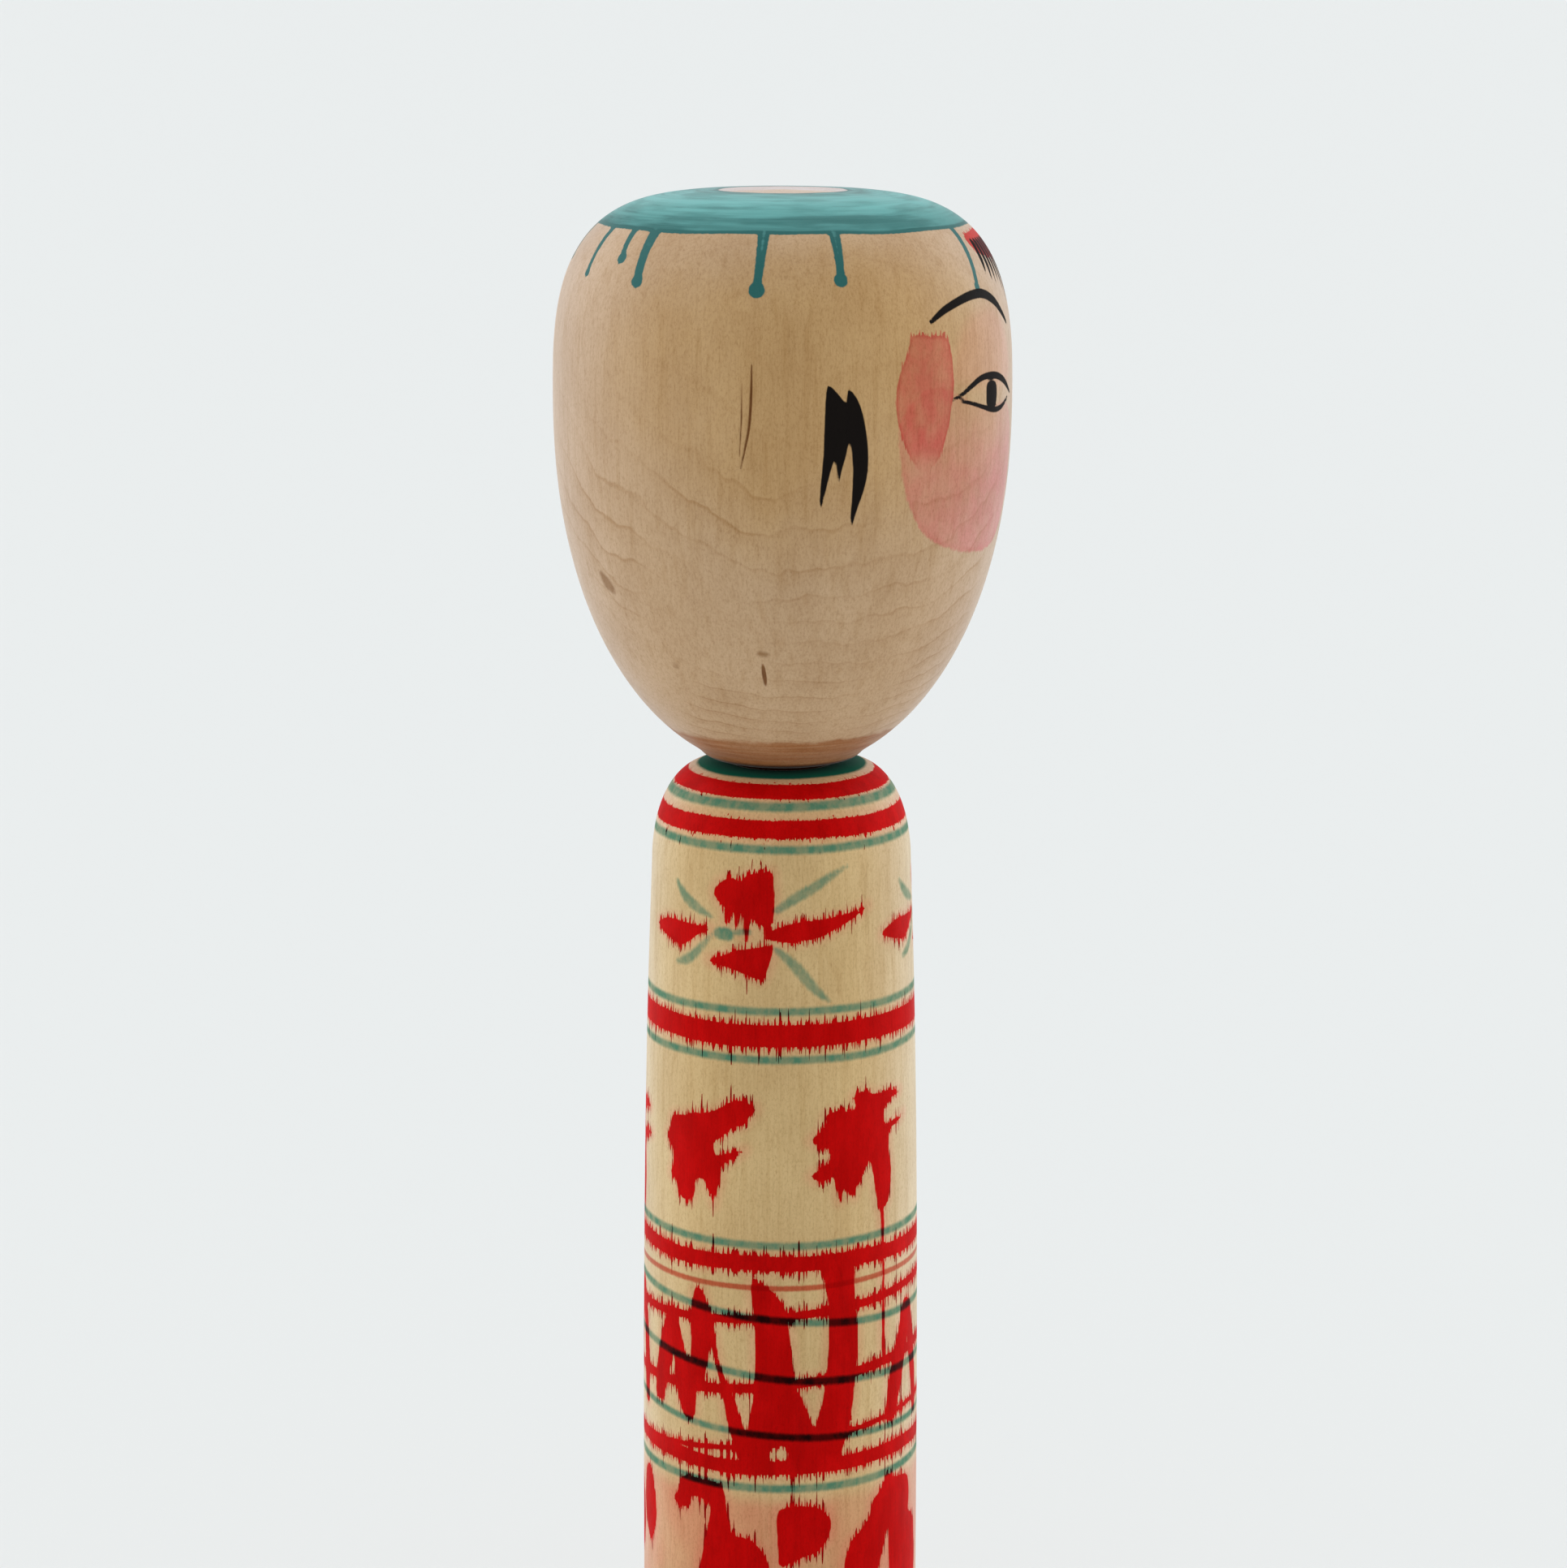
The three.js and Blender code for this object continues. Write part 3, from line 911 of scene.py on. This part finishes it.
def head_material():
    graph = Graph("head_wood_painted")
    rosy, golden = (0.605, 0.415, 0.25), (0.59, 0.375, 0.172)
    x, y, height = graph.split(graph.place)
    clearest = graph.ramp(height, RINGS_FAINT, RINGS_CLEAR, 0.25, 0.95)
    relief, fibre = wood_grain(
        graph, pith=(9.0, 2.0), lean=0.08, rise=0.16, ring_width=2.0, clearest=clearest,
        near_pith=rosy, away=golden, turn_at=58.3,
    )
    # Painted reflection of the red shoulder and painted shade under the head: the neck is painted a darker
    # orange-brown, in streaks along the turning, up to a ragged height above the seat.
    ragged_neck_height = graph.add(height, graph.noise((3, 3, 1.5), detail=3), 1.6)
    # Painted reflection: the bare top of the head is painted paler and bluer, for the bright room it
    # reflects at a grazing angle.
    crown = graph.ramp(height, CROWN_RING_EDGE + 2.5, CROWN_RING_EDGE + 4.0)
    graph.dye((1.06, 1.22, 1.6), crown)
    neck_painted_reflection_and_shade = graph.ramp(ragged_neck_height, SEAM + 6.9, SEAM + 6.2)
    neck_shade_streaks = graph.ramp(graph.noise((14, 14, 0.5), detail=2), 0.35, 0.65, 0.72, 1.0)
    graph.dye((0.64, 0.40, 0.25), neck_painted_reflection_and_shade, neck_shade_streaks)
    # Painted shade: the lowest stretch of the neck's bevel, just above the seat, is painted nearly black
    # for the crevice between head and body.
    crevice_painted_shade = graph.ramp(height, SEAM + 1.8, SEAM + 1.1)
    graph.dye((0.14, 0.09, 0.06), crevice_painted_shade)

    wash = spot(graph, graph.painted("faint_blush"), 1.6)
    graph.dye((1.12, 0.90, 1.0), wash, 0.6)
    blotches = graph.noise((2.2, 2.2, 3.0), detail=4)
    blush = graph.painted("blush")
    wash = spot(graph, blush, 0.25, 0.9, graph.noise((0.5, 0.5, 1.2), detail=2))
    fade = graph.ramp(height, BLUSH_FULL, BLUSH_FADED, 1.0, 0.35)
    wash = graph.product(wash, fade, graph.ramp(blotches, 0.3, 0.7, 0.75, 1.0))
    graph.dye((1.06, 0.66, 0.82), wash)
    rim = graph.product(wash, dried_edge(graph, blush, 1.2))
    graph.dye((0.96, 0.70, 0.74), rim, 0.5)

    rouge = graph.painted("rouge")
    bleed = graph.noise((0.28, 0.28, 2.2), detail=2)
    stroke = spot(graph, rouge, 0.12, 0.7, bleed)
    combed = spikes(graph, graph.painted("rouge_climb"), 0.4, 0.50, 0.75, 1.2)
    stroke = graph.math("MAXIMUM", stroke, combed)
    fade = graph.ramp(height, ROUGE_NONE, ROUGE_FULL)
    stroke = graph.product(stroke, fade, graph.ramp(blotches, 0.3, 0.7, 0.72, 1.0))
    graph.dye((1.0, 0.42, 0.52), stroke)
    rim = graph.product(stroke, dried_edge(graph, rouge, 0.6))
    graph.dye((0.86, 0.48, 0.50), rim, 0.85)

    teal = graph.painted("teal")
    dyed = spot(graph, teal, 0.1, 0.25, graph.noise(0.6, detail=2))
    along = graph.painted("along")
    across = graph.vector("LENGTH", graph.join(x, y, 0.0), (0, 0, 0))
    brushed = graph.join(along, graph.math("DIVIDE", x, across), graph.math("DIVIDE", y, across))
    streaks = graph.noise((0.8, 1.2, 1.2), detail=3, place=brushed)
    pools = graph.noise((2.2, 0.5, 0.5), detail=3, place=brushed)
    thick = graph.math("MAXIMUM", dried_edge(graph, teal, 0.9), spot(graph, graph.painted("run"), 0.25))
    thick = graph.add(thick, graph.ramp(teal, -8.0, 0.0), 0.50)
    thick = graph.add(thick, graph.ramp(streaks, 0.40, 0.66), 0.22)
    thick = graph.add(thick, graph.ramp(pools, 0.42, 0.62), 0.32)
    tint = graph.blend(graph.math("MINIMUM", thick, 1.0), (0.135, 0.46, 0.45), (0.002, 0.125, 0.125))
    graph.cover(graph.product(dyed, 0.95), tint)

    red = graph.painted("red")
    dyed = spot(graph, red, 0.1, 0.3, bleed)
    combed = spikes(graph, graph.painted("red_climb"), 0.4, 0.50, 0.75, 1.0)
    dyed = graph.math("MAXIMUM", dyed, combed)
    graph.dye((0.95, 0.14, 0.17), dyed)

    ink = spot(graph, graph.painted("ink"), 0.09, 0.1, graph.noise((0.2, 0.2, 1.5), detail=2))
    graph.cover(graph.product(ink, 0.99), (0.003, 0.003, 0.004))

    stain = graph.product(spot(graph, graph.painted("stain"), 0.35, 0.6, blotches), 0.8)
    graph.dye((0.50, 0.38, 0.26), stain)
    crack = graph.product(spot(graph, graph.painted("crack"), 0.1, 0.15, fibre), 0.9)
    graph.dye((0.40, 0.24, 0.13), crack)
    finish_wax(graph, relief, graph.math("MAXIMUM", dyed, ink))
    return graph.material


def body_material():
    graph = Graph("body_wood_painted")
    pale, golden = (0.725, 0.535, 0.29), (0.71, 0.51, 0.25)
    relief, _ = wood_grain(
        graph, pith=(16.0, -4.0), lean=0.015, rise=0.0, ring_width=2.1, clearest=0.35,
        near_pith=pale, away=golden, turn_at=35.0,
    )
    _, _, height = graph.split(graph.place)
    above_foot = graph.ramp(height, SKIRT[0], SKIRT[0] + 2.0)
    skirt = graph.product(graph.ramp(height, SKIRT[1], SKIRT[1] - 3.5), above_foot)
    cloud = graph.ramp(graph.noise((7, 7, 12), detail=2), 0.3, 0.7, 0.6, 1.0)
    graph.dye((1.0, 0.63, 0.67), skirt, cloud)
    bloom = graph.ramp(graph.painted("red"), 1.8, 0.0, 0.0, 0.75)
    graph.dye((1.04, 0.80, 0.86), bloom)

    soak = graph.noise((0.35, 0.35, 2.5), detail=2)
    patch = graph.noise((1.6, 1.6, 2.5), detail=4, roughness=0.6)
    rings = spot(graph, graph.painted("green"), 0.32, 0.25, soak)
    leaves = spot(graph, graph.painted("leaf_green"), 0.35, 0.5, soak)
    green = graph.product(rings, graph.ramp(patch, 0.35, 0.65, 0.70, 0.95))
    leaf_depth = graph.ramp(patch, 0.3, 0.7, 0.55, 0.80)
    green = graph.math("MAXIMUM", green, graph.product(leaves, leaf_depth))
    # Partly thicker dye, partly painted shade: near the seat, under the head, the green is made full
    # strength and nearly black-green.
    rim = graph.ramp(height, SEAM - 0.9, SEAM - 0.5)
    green = graph.math("MAXIMUM", green, graph.product(rings, rim))
    graph.cover(green, graph.blend(rim, (0.06, 0.21, 0.13), (0.004, 0.115, 0.07)))

    thin = graph.product(spot(graph, graph.painted("thin_red"), 0.18, 0.2, soak), 0.85)
    graph.dye((0.72, 0.10, 0.05), thin)

    climb = graph.painted("red_climb")
    red = spot(graph, graph.painted("red"), 0.08, 0.45, soak)
    below_shoulder = graph.ramp(height, *SHOULDER_FOOT, 0.25, 1.0)
    comb = spikes(graph, climb, 0.30, 0.45, 0.68, 1.15, below_shoulder)
    spike = spikes(graph, climb, 0.42, 0.565, 0.72, 2.8, below_shoulder)
    crept = graph.math("MAXIMUM", comb, spike)
    beyond = graph.product(crept, graph.ramp(climb, 0.2, 1.0))
    red = graph.math("MAXIMUM", red, crept)
    cloudy = graph.ramp(graph.noise((3, 3, 6), detail=3), 0.35, 0.65)
    strong = graph.blend(cloudy, (0.72, 0.002, 0.003), (0.84, 0.004, 0.008))
    graph.dye(strong, red)
    graph.dye((0.42, 0.36, 0.33), beyond, 0.8)
    graph.dye((0.16, 0.12, 0.12), red, graph.product(green, 1.1))
    finish_wax(graph, relief, graph.math("MAXIMUM", red, green))
    return graph.material


# ---------------- the two pieces


def turned_piece(name, canvas, material, sunk=None):
    """A mesh on the canvas's grid. sunk holds how far each grid point lies below the turned surface."""
    angle = np.radians(canvas.angles)
    outward = np.column_stack([-np.sin(angle), -np.cos(angle)])
    on_axis = canvas.radius < SAME_PLACE
    depth = np.zeros((len(canvas.rings), len(angle))) if sunk is None else sunk
    places = []
    starts = []
    source = []
    for row, (radius, height) in enumerate(canvas.rings):
        starts.append(sum(len(block) for block in places))
        if on_axis[row]:
            places.append(np.array([[0, 0, height]]))
            source.append(np.array([row * len(angle)]))
        else:
            ring = (radius - depth[row])[:, None] * outward
            places.append(np.column_stack([ring, np.full(len(angle), height)]))
            source.append(row * len(angle) + np.arange(len(angle)))
    places = np.concatenate(places) * PAINT_MM
    source = np.concatenate(source)
    column = np.arange(len(angle))
    onward = np.roll(column, -1)
    faces = []
    for row in range(len(canvas.rings) - 1):
        low, high = starts[row], starts[row + 1]
        if on_axis[row]:
            corners = [np.full(len(angle), low), high + column, high + onward]
        elif on_axis[row + 1]:
            corners = [low + column, np.full(len(angle), high), low + onward]
        else:
            corners = [low + column, high + column, high + onward, low + onward]
        faces.extend(np.stack(corners, axis=1).tolist())
    mesh = bpy.data.meshes.new(name)
    mesh.from_pydata(places, [], faces)
    mesh.polygons.foreach_set("use_smooth", np.ones(len(mesh.polygons), bool))
    for layer, values in canvas.layers.items():
        attribute = mesh.attributes.new(layer, "FLOAT", "POINT")
        attribute.data.foreach_set("value", values.ravel()[source].astype(np.float32))
    mesh.materials.append(material)
    piece = bpy.data.objects.new(name, mesh)
    bpy.context.scene.collection.objects.link(piece)
    return piece


CRACKED = (94.5, 101.0)  # degrees, the stretch with the cracks
CRACK_DEPTH = 0.3  # mm
CRACK_SLOPE = 0.12  # mm from a crack's edge to where it is deepest
FACE_REACH = 103.0  # degrees to either side of the face's middle that hold fine painting
FACE_HEIGHTS = (190, 238)  # mm, the stretch that holds the face and the runs of dye
JOINT_TOP = 0.8  # mm above the seat, the head is hidden below it
NECK_TOP = 3.5  # mm above the seat, the neck's edges are below it
SEAT_RADIUS = 9.6  # mm, within it the head hides the body's top
HIDDEN_RINGS = 1.5  # mm between the rings that nobody sees, inside the neck joint
FINE_RINGS, COARSE_RINGS = 0.40, 0.80  # mm between the head's rings
BODY_RINGS = 0.48  # mm
FINE_COLUMNS, COARSE_COLUMNS, CRACK_COLUMNS = 0.72, 1.5, 0.22  # degrees between the head's columns
BODY_COLUMNS = 1.6  # degrees
HEAD_PAINT_START = 0.35  # mm above the seat
BODY_PAINT_START = 0.3  # mm above the base


def head_ring_spacing(_radius, height):
    """Finer at the neck and where the face and the runs of dye are, and coarse inside the socket."""
    fine = (height < SEAM + NECK_TOP) | ((height > FACE_HEIGHTS[0]) & (height < FACE_HEIGHTS[1]))
    return np.where(height < SEAM + JOINT_TOP, HIDDEN_RINGS, np.where(fine, FINE_RINGS, COARSE_RINGS))


def head_column_spacing(angle):
    spacing = np.where(np.abs(angle) < FACE_REACH, FINE_COLUMNS, COARSE_COLUMNS)
    return np.where((angle > CRACKED[0]) & (angle < CRACKED[1]), CRACK_COLUMNS, spacing)


def body_ring_spacing(radius, _height):
    return np.where(radius < SEAT_RADIUS, HIDDEN_RINGS, BODY_RINGS)


def body_column_spacing(angle):
    return np.full_like(angle, BODY_COLUMNS)


def make_head():
    rings = ring_outline("head", head_ring_spacing)
    canvas = Canvas(rings, spread_angles(head_column_spacing), lowest=SEAM + HEAD_PAINT_START)
    paint_head(canvas)
    canvas.layers["along"] = np.repeat(canvas.along[:, None], len(canvas.angles), axis=1)
    opened = np.clip(-canvas.layer("crack") / CRACK_SLOPE, 0, 1)
    head = turned_piece("turned_head", canvas, head_material(), sunk=CRACK_DEPTH * opened)
    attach(head, "head")
    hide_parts("head")


def make_body():
    rings = ring_outline("body", body_ring_spacing)
    canvas = Canvas(rings, spread_angles(body_column_spacing), lowest=BODY_PAINT_START)
    paint_body(canvas)
    body = turned_piece("turned_body", canvas, body_material())
    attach(body, "body")
    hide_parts("body")


make_camera()
make_floor()
make_light()
make_head()
make_body()
